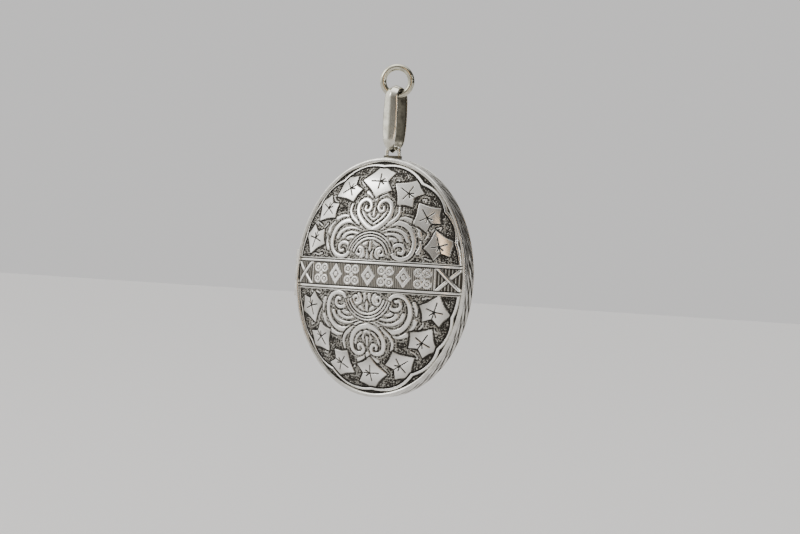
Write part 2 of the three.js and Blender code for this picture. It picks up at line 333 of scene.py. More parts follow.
cover_low, cover_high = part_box("front_cover")
cover_middle = (cover_low.z + cover_high.z) / 2
half_height = (cover_high.z - cover_low.z) / 2 / MM
oval_ratio = (cover_high.x - cover_low.x) / (cover_high.z - cover_low.z)
rim_bead = 0.5
rim_plane = cover_high.y - 0.4 * MM
field_half_height = half_height - 2 * rim_bead
dome_rise = (rim_plane - cover_low.y) / MM
ground_depth = 0.42
ditch_middle = 0.13
ditch_half = 0.12
scallop_half = 0.3
far_away = 9.0
field_grid = 300
band_grid = (800, 110)

band_centre = 0.25
band_half = 2.72
edge_line_half = 0.3
fine_line_out = 0.52
fine_line_half = 0.15
hatch_pitch = 0.42
motif_pitch = 4.0
motif_row_half = 14.0
motif_soft_edge = 0.14
lozenge_half_width = 1.7
lozenge_half_height = 2.3
petal_out = (0.92, 1.16)
petal_radius = 0.96
petal_ring = 0.42
motif_dot = 0.5
panel_bar = 14.35
panel_bar_half = 0.2
panel_start = 14.5
panel_middle = 17.0
panel_hatch_pitch = 0.62
cross_slope = 0.95
cross_half = 0.42


def spread_line(points, per_span=7):
    """A smooth line through given points."""
    points = np.array(points, float)
    padded = np.vstack([2 * points[0] - points[1], points, 2 * points[-1] - points[-2]])
    line = []
    for a, b, c, d in zip(padded, padded[1:], padded[2:], padded[3:]):
        for t in np.arange(per_span) / per_span:
            line.append(0.5 * (2 * b + (c - a) * t + (2 * a - 5 * b + 4 * c - d) * t ** 2
                               + (3 * b - a - 3 * c + d) * t ** 3))
    line.append(points[-1])
    return np.array(line)


def volute(centre, wide, narrow, start, turns, steps=30):
    """A spiral that winds in round a centre. Angles are in degrees, and turns may be negative."""
    t = np.linspace(0, 1, steps)
    radius = wide + (narrow - wide) * t
    angle = np.radians(start) + 2 * np.pi * turns * t
    return np.array([centre[0] + radius * np.cos(angle), centre[1] + radius * np.sin(angle)]).T


def distance_to(x, z, line):
    """Each place's distance to a line, and how far along the line its nearest place is."""
    nearest = np.full(x.shape, far_away)
    along = np.zeros(x.shape)
    low, high = line.min(0) - 1, line.max(0) + 1
    close = (x > low[0]) & (x < high[0]) & (z > low[1]) & (z < high[1])
    px, pz = x[close], z[close]
    best, where = nearest[close], along[close]
    for k, (a, b) in enumerate(zip(line[:-1], line[1:])):
        run = b - a
        t = np.clip(((px - a[0]) * run[0] + (pz - a[1]) * run[1]) / max(run @ run, 1e-9), 0, 1)
        gap = np.hypot(px - a[0] - t * run[0], pz - a[1] - t * run[1])
        closer = gap < best
        best[closer] = gap[closer]
        where[closer] = (k + t[closer]) / (len(line) - 1)
    nearest[close], along[close] = best, where
    return nearest, along


def raised(height, x, z, line, start, end, top=0.9, bed=0.35):
    """Lays a cushioned rib along a line, its half width going from start to end, with a ditch
    beside it and a smooth bed beyond the ditch."""
    gap, along = distance_to(x, z, line)
    half = start + (end - start) * along
    height *= 1 - np.clip(1.7 - np.abs(gap - half - ditch_middle) / ditch_half, 0, 1)
    beside = np.clip((gap - half - 0.26) / 0.1, 0, 1)
    beside *= np.clip((half + 0.3 + bed - gap) / 0.1, 0, 1)
    np.maximum(height, 0.5 * beside, out=height)
    rib = top * np.clip(1 - (gap / half) ** 4, 0, 1) ** 0.5
    np.maximum(height * (gap > half), rib, out=height)


def cut(height, x, z, line, half=0.11, depth=0.75):
    """Engraves a fine groove along a line."""
    gap, _ = distance_to(x, z, line)
    height -= depth * np.clip(1.25 - gap / half, 0, 1) * np.clip(height, 0, 1)


# The seven leaves of each half, by their middles and sizes. Their tips all point one way round.
upper_leaves = [
    (-14.55, 7.4, 1.03), (-11.9, 13.9, 1.0), (-6.9, 18.35, 1.06), (0.1, 20.15, 1.22),
    (6.9, 17.8, 1.1), (11.6, 12.9, 1.06), (14.7, 6.9, 1.03)]
lower_leaves = [
    (-14.5, 6.9, 1.06), (-11.85, 13.3, 1.03), (-6.75, 18.45, 1.06), (0.2, 20.2, 1.14),
    (7.1, 18.3, 1.08), (12.0, 13.2, 1.06), (14.5, 6.7, 1.06)]
# A leaf's corners, as angles from its tip and reaches in mm. The middle one is the stem's notch.
leaf_corners = [
    (0, 3.45), (84, 2.95), (148, 2.95), (180, 1.45), (212, 2.95), (276, 2.95), (360, 3.45)]
# Its veins run from the middle, as angles from the tip and lengths. The first ends in the notch.
leaf_veins = ((180, 1.45), (0, 2.0), (84, 1.6), (148, 1.1), (212, 1.1), (276, 1.6))
vein_half = 0.12


def leaf_edge(angle):
    """How far a leaf reaches at an angle from its tip: five corners with hollow sides between."""
    reach = np.zeros(angle.shape)
    turned = angle % 360
    for (a0, r0), (a1, r1) in zip(leaf_corners, leaf_corners[1:]):
        inside = (turned >= a0) & (turned <= a1)
        t = (turned[inside] - a0) / (a1 - a0)
        p = r0 * np.array([np.cos(np.radians(a0)), np.sin(np.radians(a0))])
        q = r1 * np.array([np.cos(np.radians(a1)), np.sin(np.radians(a1))])
        u = np.array([np.cos(np.radians(turned[inside])), np.sin(np.radians(turned[inside]))])
        chord = (p[0] * q[1] - p[1] * q[0]) / (u[0] * (q - p)[1] - u[1] * (q - p)[0])
        reach[inside] = chord * (1 - 0.001 * (a1 - a0) * np.sin(np.pi * t))
    return reach


# The cusps where the scalloped line's arcs meet, and how far each arc bulges.
cusps = [(0.0, 23.45), (9.35, 19.95), (14.95, 14.3), (17.75, 7.75), (18.9, 2.72)]
bulges = [1.45, 1.0, 0.75, 0.25]
# Three short cuts stand beyond each of the middle cusps.
cut_shifts = (-0.85, 0.0, 0.85)
cut_start = 0.55
cut_length = 0.75
cut_half = 0.14


def scallop_line():
    """The scalloped line over one quarter of the oval, from cusp to cusp."""
    line = []
    for (a, b), bulge in zip(zip(cusps, cusps[1:]), bulges):
        a, b = np.array(a), np.array(b)
        out = np.array([b[1] - a[1], a[0] - b[0]])
        out = -out / np.hypot(*out)
        for t in np.arange(14) / 14:
            line.append(a + (b - a) * t + out * bulge * 4 * t * (1 - t))
    line.append(np.array(cusps[-1]))
    return np.array(line)


arch_centre = (0.0, 3.85)
arch_radii = (5.25, 4.66, 4.07)


def arch(radius):
    """One rib of the arch over the band, from its foot to the middle."""
    angle = np.radians(np.linspace(17, 90, 22))
    return np.array([radius * np.cos(angle), arch_centre[1] + radius * np.sin(angle)]).T


side_scroll = spread_line([
    (1.2, 10.0), (2.6, 10.5), (4.4, 11.2), (6.0, 11.4), (7.6, 10.9), (8.9, 9.6), (9.6, 7.8),
    (9.5, 5.8), (8.6, 4.35), (7.0, 3.8), (5.6, 4.25), (5.05, 5.5), (5.65, 6.6), (6.9, 6.75),
    (7.65, 5.95), (7.3, 5.0), (6.55, 5.1)])
side_scroll_ribs = [
    spread_line([(5.6, 12.3), (7.3, 12.45), (8.9, 11.8)]),
    spread_line([(9.5, 11.0), (10.4, 10.0), (10.75, 8.9)]),
    spread_line([(10.95, 7.7), (10.95, 6.4), (10.5, 5.3)]),
    spread_line([(3.9, 7.75), (4.9, 7.95), (5.7, 7.6)]),
    spread_line([(3.1, 8.75), (4.7, 9.0), (6.1, 8.6), (6.8, 7.9)]),
    spread_line([(2.2, 9.5), (4.3, 9.95), (6.2, 9.75), (7.6, 8.9), (8.25, 7.8)])]
heart_scroll = spread_line([
    (0.1, 9.8), (1.5, 10.6), (2.75, 11.7), (3.65, 13.0), (3.9, 14.4), (3.4, 15.6), (2.3, 16.15),
    (1.25, 15.65), (0.85, 14.6), (1.4, 13.75), (2.15, 13.95), (2.1, 14.65)])
heart_ribs = [
    spread_line([(3.3, 11.0), (4.9, 12.1), (5.75, 13.6), (5.5, 15.2)]),
    spread_line([(2.2, 17.6), (1.5, 17.25), (0.75, 16.6), (0.45, 15.9)]),
    spread_line([(0.15, 12.1), (0.8, 12.55), (1.25, 13.1)]),
    spread_line([(0.35, 10.9), (1.5, 11.8), (2.4, 12.9), (2.85, 14.2)])]
lower_heart_scroll = spread_line([
    (0.1, 10.4), (1.8, 10.9), (3.1, 12.0), (3.75, 13.6), (3.6, 15.2), (2.7, 16.1), (1.5, 16.1),
    (0.85, 15.2), (1.3, 14.35), (2.1, 14.5), (2.05, 15.2)])
lower_heart_ribs = [
    heart_ribs[0], heart_ribs[1],
    volute((0.0, 12.5), 0.95, 0.95, 90, -0.6),
    spread_line([(1.5, 11.8), (2.45, 12.8), (2.8, 14.1)])]
heart_crown = spread_line([(0.0, 17.9), (0.0, 17.0), (0.0, 16.3)])
heart_drop = spread_line([(0.0, 14.4), (0.0, 13.6), (0.0, 12.9)])
under_spiral = volute((2.5, 4.95), 1.18, 0.35, 240, -1.35)
under_ribs = [
    spread_line([(0.5, 7.7), (0.95, 6.9), (1.6, 6.5)]),
    spread_line([(0.0, 7.4), (0.0, 6.3), (0.0, 5.2)]),
    spread_line([(0.75, 5.2), (0.5, 4.5), (0.55, 3.9)])]
leaf_stems = [
    spread_line([(3.3, 18.95), (4.1, 19.6), (4.35, 20.4), (3.7, 20.5)]),
    spread_line([(9.6, 15.2), (10.4, 15.6), (10.9, 16.5), (10.1, 16.5)]),
    spread_line([(13.0, 10.1), (13.6, 10.45), (14.6, 10.9), (14.4, 10.2)]),
    spread_line([(11.4, 10.6), (12.3, 9.4), (11.9, 8.3)]),
    spread_line([(12.2, 4.2), (13.2, 3.9), (14.3, 4.1), (14.6, 3.5)])]


def chased_field(x, z, side):
    """Relief height of one half's scrollwork, 0 to 1, drawn on the side where x is positive."""
    height = np.zeros(x.shape)
    for rib in side_scroll_ribs:
        raised(height, x, z, rib, 0.2, 0.5)
    raised(height, x, z, side_scroll, 0.62, 0.34, 0.95)
    for rib in heart_ribs if side > 0 else lower_heart_ribs:
        raised(height, x, z, rib, 0.48, 0.28)
    raised(height, x, z, heart_crown, 0.3, 0.55)
    raised(height, x, z, heart_drop, 0.2, 0.4)
    raised(height, x, z, heart_scroll if side > 0 else lower_heart_scroll, 0.62, 0.3, 0.95)
    for rib in under_ribs:
        raised(height, x, z, rib, 0.3, 0.42)
    raised(height, x, z, under_spiral, 0.38, 0.3, 0.95)
    for radius in arch_radii:
        raised(height, x, z, arch(radius), 0.25, 0.25, 1.0)
    for stem in leaf_stems:
        raised(height, x, z, stem, 0.2, 0.14, 0.8)
    return height


def lay_leaves(height, x, z, leaves, handed):
    """Lays a garland of leaves over the field, each with its outline, veins and notched stem."""
    for cx, cz, size in leaves:
        dx, dz = x - cx, z - cz
        around = math.degrees(math.atan2(cx / oval_ratio ** 2, -cz)) + (0 if handed > 0 else 180)
        angle = (np.degrees(np.arctan2(dz, dx)) - around) * handed
        inset = (size * leaf_edge(angle) - np.hypot(dx, dz)) * 0.85
        body = np.clip(inset / 0.14 + 0.5, 0, 1)
        gap = np.clip(1 - np.abs(inset + 0.24) / 0.2, 0, 1)
        height *= 1 - 0.9 * gap
        from_vein = np.abs(np.hypot(dx, dz) * np.sin(np.radians(angle)))
        np.maximum(height * (1 - body), body * (1 - 0.12 * from_vein), out=height)
        for vein, reach in leaf_veins:
            a = math.radians(around + vein * handed)
            line = np.array([[cx, cz], [cx + reach * math.cos(a), cz + reach * math.sin(a)]])
            cut(height, x, z, line, vein_half, 1.0)


def beyond_scallops(x, z, line):
    """True where a place lies outside the scalloped line, seen from the middle of the oval."""
    angle = np.arctan2(z, x)
    order = np.argsort(np.arctan2(line[:, 1], line[:, 0]))
    reach = np.interp(angle, np.arctan2(line[:, 1], line[:, 0])[order], np.hypot(*line.T)[order])
    return np.hypot(x, z) > reach


def chased_band(x, z):
    """Relief height of the band: raised motifs on hatching, and a crossed panel at each end."""
    height = 0.47 + 0.15 * np.cos(2 * np.pi * x / hatch_pitch)
    number = np.round(x / motif_pitch)
    across = x - number * motif_pitch
    lozenge = np.abs(across) / lozenge_half_width + np.abs(z) / lozenge_half_height
    outline = 1.0 - np.clip(np.abs(lozenge - 0.72) / 0.3, 0, 1) ** 3
    outline = np.clip(outline * 1.6, 0, 1) * (lozenge < 1.02)
    dot = np.clip((motif_dot - np.hypot(across, z)) / motif_soft_edge + 0.5, 0, 1)
    petals = np.hypot(np.abs(across) - petal_out[0], np.abs(z) - petal_out[1])
    flower = np.clip((petal_radius - petals) / motif_soft_edge + 0.5, 0, 1)
    flower -= 0.85 * np.clip(1 - np.abs(petals - petal_ring) / motif_soft_edge, 0, 1)
    motif = np.maximum(np.where(number % 2 == 0, outline, flower), dot)
    ax = np.abs(x)
    height = np.where(ax < motif_row_half, np.maximum(height, motif), height)
    ends = ax > panel_start
    strokes = np.cos(2 * np.pi * (ax - panel_middle) / panel_hatch_pitch * np.sign(z))
    height = np.where(ends, 0.25 + 0.45 * np.clip(strokes, 0, 1), height)
    for way in (1, -1):
        arm = np.abs((ax - panel_middle) - way * z * cross_slope) / math.hypot(1, cross_slope)
        rib = np.sqrt(np.clip(1 - (arm / cross_half) ** 2, 0, 1))
        sunk = height * (1 - np.clip(1.6 - arm / cross_half, 0, 1) * 0.7)
        height = np.where(ends, np.maximum(sunk, rib), height)
    bar = np.sqrt(np.clip(1 - ((ax - panel_bar) / panel_bar_half) ** 2, 0, 1))
    return np.maximum(height, bar * 0.9)


def past_band(z, side):
    """Distance from the band's middle line, stretched so that both halves are alike."""
    return side * (z - band_centre) * half_height / (half_height - side * band_centre)


def edge_lines(height, out):
    """Raises the strong and the fine line that run along the band's edge."""
    edge = np.abs(out - band_half)
    height = np.where(edge < 0.5, height * np.clip((edge - edge_line_half) / 0.2, 0, 1), height)
    height = np.maximum(height, np.sqrt(np.clip(1 - (edge / edge_line_half) ** 2, 0, 1)))
    second = np.abs(out - band_half - fine_line_out)
    return np.maximum(height, 0.8 * np.sqrt(np.clip(1 - (second / fine_line_half) ** 2, 0, 1)))


def band_relief(x, z):
    """Relief height over the band and its two edge lines."""
    out = past_band(z, np.where(z > band_centre, 1, -1))
    return np.clip(edge_lines(chased_band(x, z - band_centre), out), 0, 1)


def field_relief(side):
    """The relief height over the field above (1) or below (-1) the band, as a function of place."""
    def relief(x, z):
        out = past_band(z, side)
        ax = np.abs(x)
        height = chased_field(ax, out, side)
        curls = np.sin(5.3 * x + 2.6 * np.sin(3.7 * z + 1.3 * x))
        curls *= np.sin(4.9 * z + 2.4 * np.sin(4.3 * x - 0.9 * z))
        flecks = np.sin(9.7 * x + 3.1 * np.sin(6.1 * z)) * np.sin(10.3 * z + 2.9 * np.sin(7.3 * x))
        ground = np.clip(0.28 + 0.42 * curls + 0.28 * flecks, 0, 0.7)
        height = np.maximum(height, ground)
        lay_leaves(height, x, out, upper_leaves if side > 0 else lower_leaves, side)
        scallops = scallop_line()
        height = np.where(beyond_scallops(ax, out, scallops), 0.6, height)
        from_bead = field_half_height - np.hypot(ax / oval_ratio, z)
        height *= np.clip((from_bead - 0.12) / 0.16, 0, 1)
        for (cx, cz) in cusps[1:4]:
            way = np.array([cx / oval_ratio ** 2, cz])
            way = way / np.hypot(*way)
            along = np.array([-way[1], way[0]])
            for shift in cut_shifts:
                foot = np.array([cx, cz]) + along * shift + way * (cut_start + 0.12 * abs(shift))
                cut(height, ax, out, np.array([foot, foot + way * cut_length]), cut_half, 1.0)
        gap, _ = distance_to(ax, out, scallops)
        height = np.where(gap < 0.52, height * np.clip((gap - 0.22) / 0.3, 0, 1), height)
        raised(height, ax, out, scallops, scallop_half, scallop_half, 1.0, 0)
        return np.clip(edge_lines(height, out), 0, 1)
    return relief


def dome_depth(x, z):
    """How far the dome stands before the rim's plane, in mm."""
    reach = np.clip((x / oval_ratio) ** 2 + z ** 2, 0, field_half_height ** 2) / field_half_height ** 2
    return dome_rise * (1 - reach) ** 0.7


def chased_piece(name, columns, rows, place, relief):
    """A grid laid over part of the dome by a rule for its place, then raised and engraved."""
    shape = bmesh.new()
    bmesh.ops.create_grid(shape, x_segments=columns, y_segments=rows, size=1)
    flat = np.array([v.co[:2] for v in shape.verts])
    x, z = place(flat[:, 0], flat[:, 1])
    height = relief(x, z)
    edge = np.clip(dome_depth(x, z) / 0.5, 0, 1)
    depth = dome_depth(x, z) - ground_depth * (1 - height) * edge
    kept = shape.verts.layers.float.new("relief")
    for vert, px, pz, py, ph in zip(shape.verts, x, z, depth, height):
        vert.co = (px * MM, rim_plane - py * MM, cover_middle + pz * MM)
        vert[kept] = ph
    bmesh.ops.remove_doubles(shape, verts=shape.verts, dist=1e-7)
    bmesh.ops.reverse_faces(shape, faces=shape.faces)
    finished(name, shape, engraved_silver, "lid", "engraved_silver", "front_cover")


engraved_silver = bpy.data.materials.new("engraved silver")
engraved_silver.use_nodes = True
tree = engraved_silver.node_tree
shader = tree.nodes["Principled BSDF"]
relief_of = tree.nodes.new("ShaderNodeAttribute")
relief_of.attribute_name = "relief"
tones = tree.nodes.new("ShaderNodeValToRGB")
tones.color_ramp.elements[0].color = (0.02, 0.018, 0.014, 1)
tones.color_ramp.elements[1].color = (0.93, 0.92, 0.885, 1)
tones.color_ramp.elements.new(0.3).color = (0.06, 0.055, 0.047, 1)
tones.color_ramp.elements.new(0.55).color = (0.33, 0.32, 0.29, 1)
clouds = tree.nodes.new("ShaderNodeGroup")
clouds.node_tree = tarnish
clouds.inputs["Scale"].default_value = 160
clouds.inputs["Amount"].default_value = 0.3
dulled = tree.nodes.new("ShaderNodeMix")
dulled.data_type = "RGBA"
dulled.blend_type = "MULTIPLY"
dulled.inputs[7].default_value = (0.55, 0.53, 0.47, 1)
rough = tree.nodes.new("ShaderNodeMapRange")
rough.inputs["To Min"].default_value = 0.6
rough.inputs["To Max"].default_value = 0.18
metal_of = tree.nodes.new("ShaderNodeMapRange")
metal_of.inputs["To Min"].default_value = 0.55
metal_of.inputs["From Max"].default_value = 0.5
hairlines = tree.nodes.new("ShaderNodeGroup")
hairlines.node_tree = scratches
hairlines.inputs["Scale"].default_value = 1500
bump = tree.nodes.new("ShaderNodeBump")
bump.inputs["Strength"].default_value = 0.35
bump.inputs["Distance"].default_value = 0.02 * MM
wire(tree, relief_of.outputs["Fac"], tones.inputs["Fac"])
wire(tree, relief_of.outputs["Fac"], rough.inputs["Value"])
wire(tree, relief_of.outputs["Fac"], metal_of.inputs["Value"])
wire(tree, clouds.outputs["Mask"], dulled.inputs[0])
wire(tree, tones.outputs["Color"], dulled.inputs[6])
wire(tree, dulled.outputs[2], shader.inputs["Base Color"])
wire(tree, rough.outputs["Result"], shader.inputs["Roughness"])
wire(tree, metal_of.outputs["Result"], shader.inputs["Metallic"])
wire(tree, hairlines.outputs["Height"], bump.inputs["Height"])
wire(tree, bump.outputs["Normal"], shader.inputs["Normal"])


def eased(u):
    """Crowds a grid's columns towards its two ends, where the oval curves away."""
    return 0.7 * u + 0.3 * np.sin(u * np.pi / 2)


def over_field(side, hand):
    """The rule that lays a grid over one half, right (1) or left (-1), of a field."""
    def place(u, v):
        start = band_centre + side * (band_half + edge_line_half)
        widest = oval_ratio * np.sqrt(field_half_height ** 2 - start ** 2)
        x = eased((u + hand) / 2) * widest
        top = np.sqrt(np.clip(field_half_height ** 2 - (x / oval_ratio) ** 2, 0, None))
        t = (v * side + 1) / 2
        return x, start + (side * top - start) * t
    return place


def over_band(u, v):
    """The rule that lays a grid over the band and its two edge lines."""
    z = band_centre + v * (band_half + edge_line_half)
    return eased(u) * oval_ratio * np.sqrt(field_half_height ** 2 - z ** 2), z


for side, half in ((1, "upper"), (-1, "lower")):
    for hand, part in ((-1, "left"), (1, "right")):
        chased_piece(
            f"chased_{half}_{part}", field_grid, field_grid, over_field(side, hand), field_relief(side))
chased_piece("chased_band", *band_grid, over_band, band_relief)


# ---- front rim -------------------------------------------------------------------------------
# The plain half-round bead that edges the lid, rolled from the same sheet as the dome and
# polished bright by handling.

def oval_spun(profile, steps=288):
    """A profile of (half height, depth) points in mm, turned round the case, then narrowed."""
    shape = bmesh.new()
    verts = [shape.verts.new((0, y * MM, r * MM)) for r, y in profile]
    for a, b in zip(verts, verts[1:] + verts[:1]):
        if a.co.z > 1e-7 or b.co.z > 1e-7:
            shape.edges.new((a, b))
    bmesh.ops.spin(
        shape, geom=shape.edges[:], cent=(0, 0, 0), axis=(0, 1, 0),
        angle=2 * math.pi, steps=steps, use_merge=True)
    bmesh.ops.remove_doubles(shape, verts=shape.verts, dist=1e-7)
    bmesh.ops.recalc_face_normals(shape, faces=shape.faces)
    bmesh.ops.scale(shape, verts=shape.verts, vec=(oval_ratio, 1, 1))
    bmesh.ops.translate(shape, verts=shape.verts, vec=(0, 0, cover_middle))
    return shape


def rounded(corners, radius, steps=3):
    """A closed profile with each corner rounded off by a small radius."""
    made = []
    count = len(corners)
    for k, corner in enumerate(corners):
        here = Vector(corner)
        if abs(here.x) < 1e-9:
            made.append(tuple(here))
            continue
        before = Vector(corners[k - 1]) - here
        after = Vector(corners[(k + 1) % count]) - here
        reach = min(radius, before.length * 0.45, after.length * 0.45)
        start, end = here + before.normalized() * reach, here + after.normalized() * reach
        for i in range(steps + 1):
            t = i / steps
            made.append(tuple(start * (1 - t) ** 2 + here * 2 * t * (1 - t) + end * t ** 2))
    return made


worn_silver = silver_finish(
    "worn silver", (0.70, 0.69, 0.65), (0.34, 0.32, 0.28), (0.2, 0.36), 0.6, 520)
rim_y = rim_plane / MM
seam_y = cover_high.y / MM
rim_profile = [(half_height - rim_bead + rim_bead * math.cos(a), rim_y - rim_bead * math.sin(a))
               for a in np.linspace(0, math.pi, 15)]
rim_profile += [(half_height - 2 * rim_bead - 0.02, rim_y + 0.1), (half_height - 1.45, seam_y)]
rim_profile += [(half_height - 0.08, seam_y), (half_height, seam_y - 0.08)]
finished(
    "rolled_front_rim", oval_spun(rim_profile), worn_silver, "lid", "engraved_silver", "front_cover")


# ---- side bands ------------------------------------------------------------------------------
# One strip of silver round each half, soldered to its cover. Slanting cuts all the way round give
# them the look of a twisted rope. A groove on the left seats the hinge, and a thumbnail nick on
# the right parts the two halves.

pin_low, pin_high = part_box("hinge_pin")
pin_middle = (pin_low + pin_high) / 2
knuckle_low, knuckle_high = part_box("front_hinge_knuckle")
knuckle_radius = (knuckle_high.x - knuckle_low.x) / 2
band_wall = 0.7
band_edge_round = 0.06
rope_pitch = 3.4
rope_depth = 0.3
rope_steps = 1100
parting_y = pin_middle.y
nick_height = cover_middle + 3 * MM
nick_reach = 3.2 * MM
nick_half_width = 0.55 * MM
nick_depth = 0.42 * MM
groove_gap = 0.1 * MM
wall_relief = 0.45


def side_band(name, node, body):
    """One band: a plain strip spun round, then cut, nicked and grooved from outside."""
    low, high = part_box(node)
    y0, y1 = low.y / MM, high.y / MM
    rows = 9
    straight = y1 - y0 - 2 * band_edge_round
    profile = [(half_height, y0 + band_edge_round + straight * k / (rows - 1)) for k in range(rows)]
    profile += [(half_height - band_edge_round, y1), (half_height - band_wall, y1)]
    profile += [(half_height - band_wall, y0), (half_height - band_edge_round, y0)]
    shape = oval_spun(profile, rope_steps)
    middle_y, half_y = (low.y + high.y) / 2, (high.y - low.y) / 2
    outside = (half_height - 0.3) * MM
    reliefs = []
    for vert in shape.verts:
        reliefs.append(wall_relief)
        x, y, z = vert.co.x, vert.co.y, vert.co.z - cover_middle
        angle = math.atan2(z, x / oval_ratio)
        reach = math.hypot(x / oval_ratio, z)
        if reach > outside:
            lengthwise = angle * half_height * 0.9
            across = (y - middle_y) / half_y
            wave = math.sin(2 * math.pi * (lengthwise / rope_pitch + 0.5 * across))
            stroke = (0.5 - 0.5 * wave) ** 3
            cutting = rope_depth * stroke + 0.12 * abs(across) ** 4
            reliefs[-1] = 0.82 * (1 - stroke) * (1 - 0.8 * abs(across) ** 8)
            factor = 1 - cutting * MM / reach
            vert.co.x, vert.co.z = x * factor, cover_middle + z * factor
        along = (vert.co.z - nick_height) / nick_reach
        if vert.co.x > 0 and reach > outside and abs(along) < 1:
            near = max(0, 1 - abs(y - parting_y) / nick_half_width)
            vert.co.x -= nick_depth * near * (1 - along ** 2)
        beside = Vector((vert.co.x - pin_middle.x, vert.co.y - pin_middle.y))
        groove = knuckle_radius + groove_gap
        level_with_pin = pin_low.z - groove_gap < vert.co.z < pin_high.z + groove_gap
        if beside.length < groove and level_with_pin:
            vert.co.x = pin_middle.x + math.sqrt(groove ** 2 - beside.y ** 2)
    bmesh.ops.recalc_face_normals(shape, faces=shape.faces)
    band = finished(name, shape, engraved_silver, body, "engraved_silver", node)
    band.data.attributes.new("relief", "FLOAT", "POINT").data.foreach_set("value", reliefs)


side_band("rope_front_band", "front_side_band", "lid")
side_band("rope_back_band", "back_side_band", "case")


# ---- back cover ------------------------------------------------------------------------------
# The back of the case: a shallow plain dome of sheet silver with three fine lines engraved round
# its border, dulled by years against clothing.

back_low, back_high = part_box("back_cover")
back_y, back_crown = back_low.y / MM, back_high.y / MM
back_edge = half_height - 0.2
back_flat = 5.5
back_step = 0.3
back_rise = 2.4
back_ledge = 1.2
back_lines = (23.6, 23.1, 21.4)
back_line_half = 0.16
back_line_depth = 0.1
back_spans = 119
back_profile = [(0, back_crown), (back_flat, back_crown)]
for k in range(1, back_spans + 1):
    t = (back_spans - k) / back_spans * math.pi / 2
    reach = back_flat + (back_edge - back_flat) * math.cos(t)
    groove = sum(max(0, 1 - abs(reach - line) / back_line_half) for line in back_lines)
    height = back_y + back_step + back_rise * math.sin(t)
    back_profile.append((reach, height - back_line_depth * groove))
back_profile += [
    (half_height - 0.05, back_y + 0.22), (half_height, back_y + 0.12), (half_height, back_y + 0.02),
    (half_height - 0.1, back_y), (back_edge - back_ledge, back_y),
    (back_edge - back_ledge, back_y + back_step), (0, back_y + 1.0)]
finished("domed_back_cover", oval_spun(back_profile), worn_silver, "case", "plain_silver", "back_cover")


# ---- inside fittings -------------------------------------------------------------------------
# Each half holds a silver plate, a blank aged card, a thin glass and a gilt frame whose lip keeps
# them in. They are alike in both halves. The back half also carries the snap rim that the lid
# closes over.

inner_silver = silver_finish(
    "inner silver", (0.78, 0.77, 0.73), (0.50, 0.47, 0.39), (0.22, 0.4), 0.6, 300)
gilt = silver_finish("gilt", (0.80, 0.56, 0.24), (0.42, 0.27, 0.11), (0.18, 0.4), 0.7, 420)

card_stock = bpy.data.materials.new("aged card")
card_stock.use_nodes = True
tree = card_stock.node_tree
shader = tree.nodes["Principled BSDF"]
shader.inputs["Roughness"].default_value = 0.85
fibre = tree.nodes.new("ShaderNodeTexNoise")
fibre.inputs["Scale"].default_value = 2600
fibre.inputs["Detail"].default_value = 4
place = tree.nodes.new("ShaderNodeTexCoord")
stain = tree.nodes.new("ShaderNodeGroup")
stain.node_tree = tarnish
stain.inputs["Scale"].default_value = 90
stain.inputs["Amount"].default_value = 0.8
paper = tree.nodes.new("ShaderNodeMix")
paper.data_type = "RGBA"
paper.inputs[6].default_value = (0.76, 0.66, 0.48, 1)
paper.inputs[7].default_value = (0.52, 0.39, 0.23, 1)
weave = tree.nodes.new("ShaderNodeBump")
weave.inputs["Strength"].default_value = 0.5
weave.inputs["Distance"].default_value = 0.03 * MM
wire(tree, place.outputs["Object"], fibre.inputs["Vector"])
wire(tree, stain.outputs["Mask"], paper.inputs[0])
wire(tree, paper.outputs[2], shader.inputs["Base Color"])
wire(tree, fibre.outputs["Fac"], weave.inputs["Height"])
wire(tree, weave.outputs["Normal"], shader.inputs["Normal"])

picture_glass = bpy.data.materials.new("picture glass")
picture_glass.use_nodes = True
tree = picture_glass.node_tree
shader = tree.nodes["Principled BSDF"]
shader.inputs["Base Color"].default_value = (0.93, 0.96, 0.95, 1)
shader.inputs["Transmission Weight"].default_value = 1
shader.inputs["IOR"].default_value = 1.46
smears = tree.nodes.new("ShaderNodeGroup")
smears.node_tree = tarnish
smears.inputs["Scale"].default_value = 70
smears.inputs["Amount"].default_value = 1
haze = tree.nodes.new("ShaderNodeMapRange")
haze.inputs["To Min"].default_value = 0.01
haze.inputs["To Max"].default_value = 0.06
wire(tree, smears.outputs["Mask"], haze.inputs["Value"])
wire(tree, haze.outputs["Result"], shader.inputs["Roughness"])


def oval_plate(name, node, material, body, slot, corner):
    """A flat oval piece with softened edges, filling its node's box."""
    low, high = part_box(node)
    reach = (high.z - low.z) / 2 / MM
    corners = [(0, low.y / MM), (reach, low.y / MM), (reach, high.y / MM), (0, high.y / MM)]
    finished(name, oval_spun(rounded(corners, corner)), material, body, slot, node)


frame_wall = 0.6
frame_lip_width = 1.6
frame_lip_thick = 0.25
frame_bevel_deep = 0.1
frame_bevel_out = 0.15
frame_bevel_in = 0.3


def picture_frame(name, node, body, outer_side):
    """The frame's wall stands on the plate, and its lip turns in over the glass."""
    low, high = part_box(node)
    reach = (high.z - low.z) / 2 / MM
    foot, lip = (low.y / MM, high.y / MM) if outer_side < 0 else (high.y / MM, low.y / MM)
    back_from_lip = 1 if lip < foot else -1
    under = lip + back_from_lip * frame_lip_thick
    bevel = lip + back_from_lip * frame_bevel_deep
    inner = reach - frame_lip_width
    corners = [
        (reach - frame_wall, foot), (reach, foot), (reach, bevel), (reach - frame_bevel_out, lip),
        (inner + frame_bevel_in, lip), (inner, bevel), (inner, under), (reach - frame_wall, under)]
    finished(name, oval_spun(rounded(corners, 0.07)), gilt, body, "frame_metal", node)


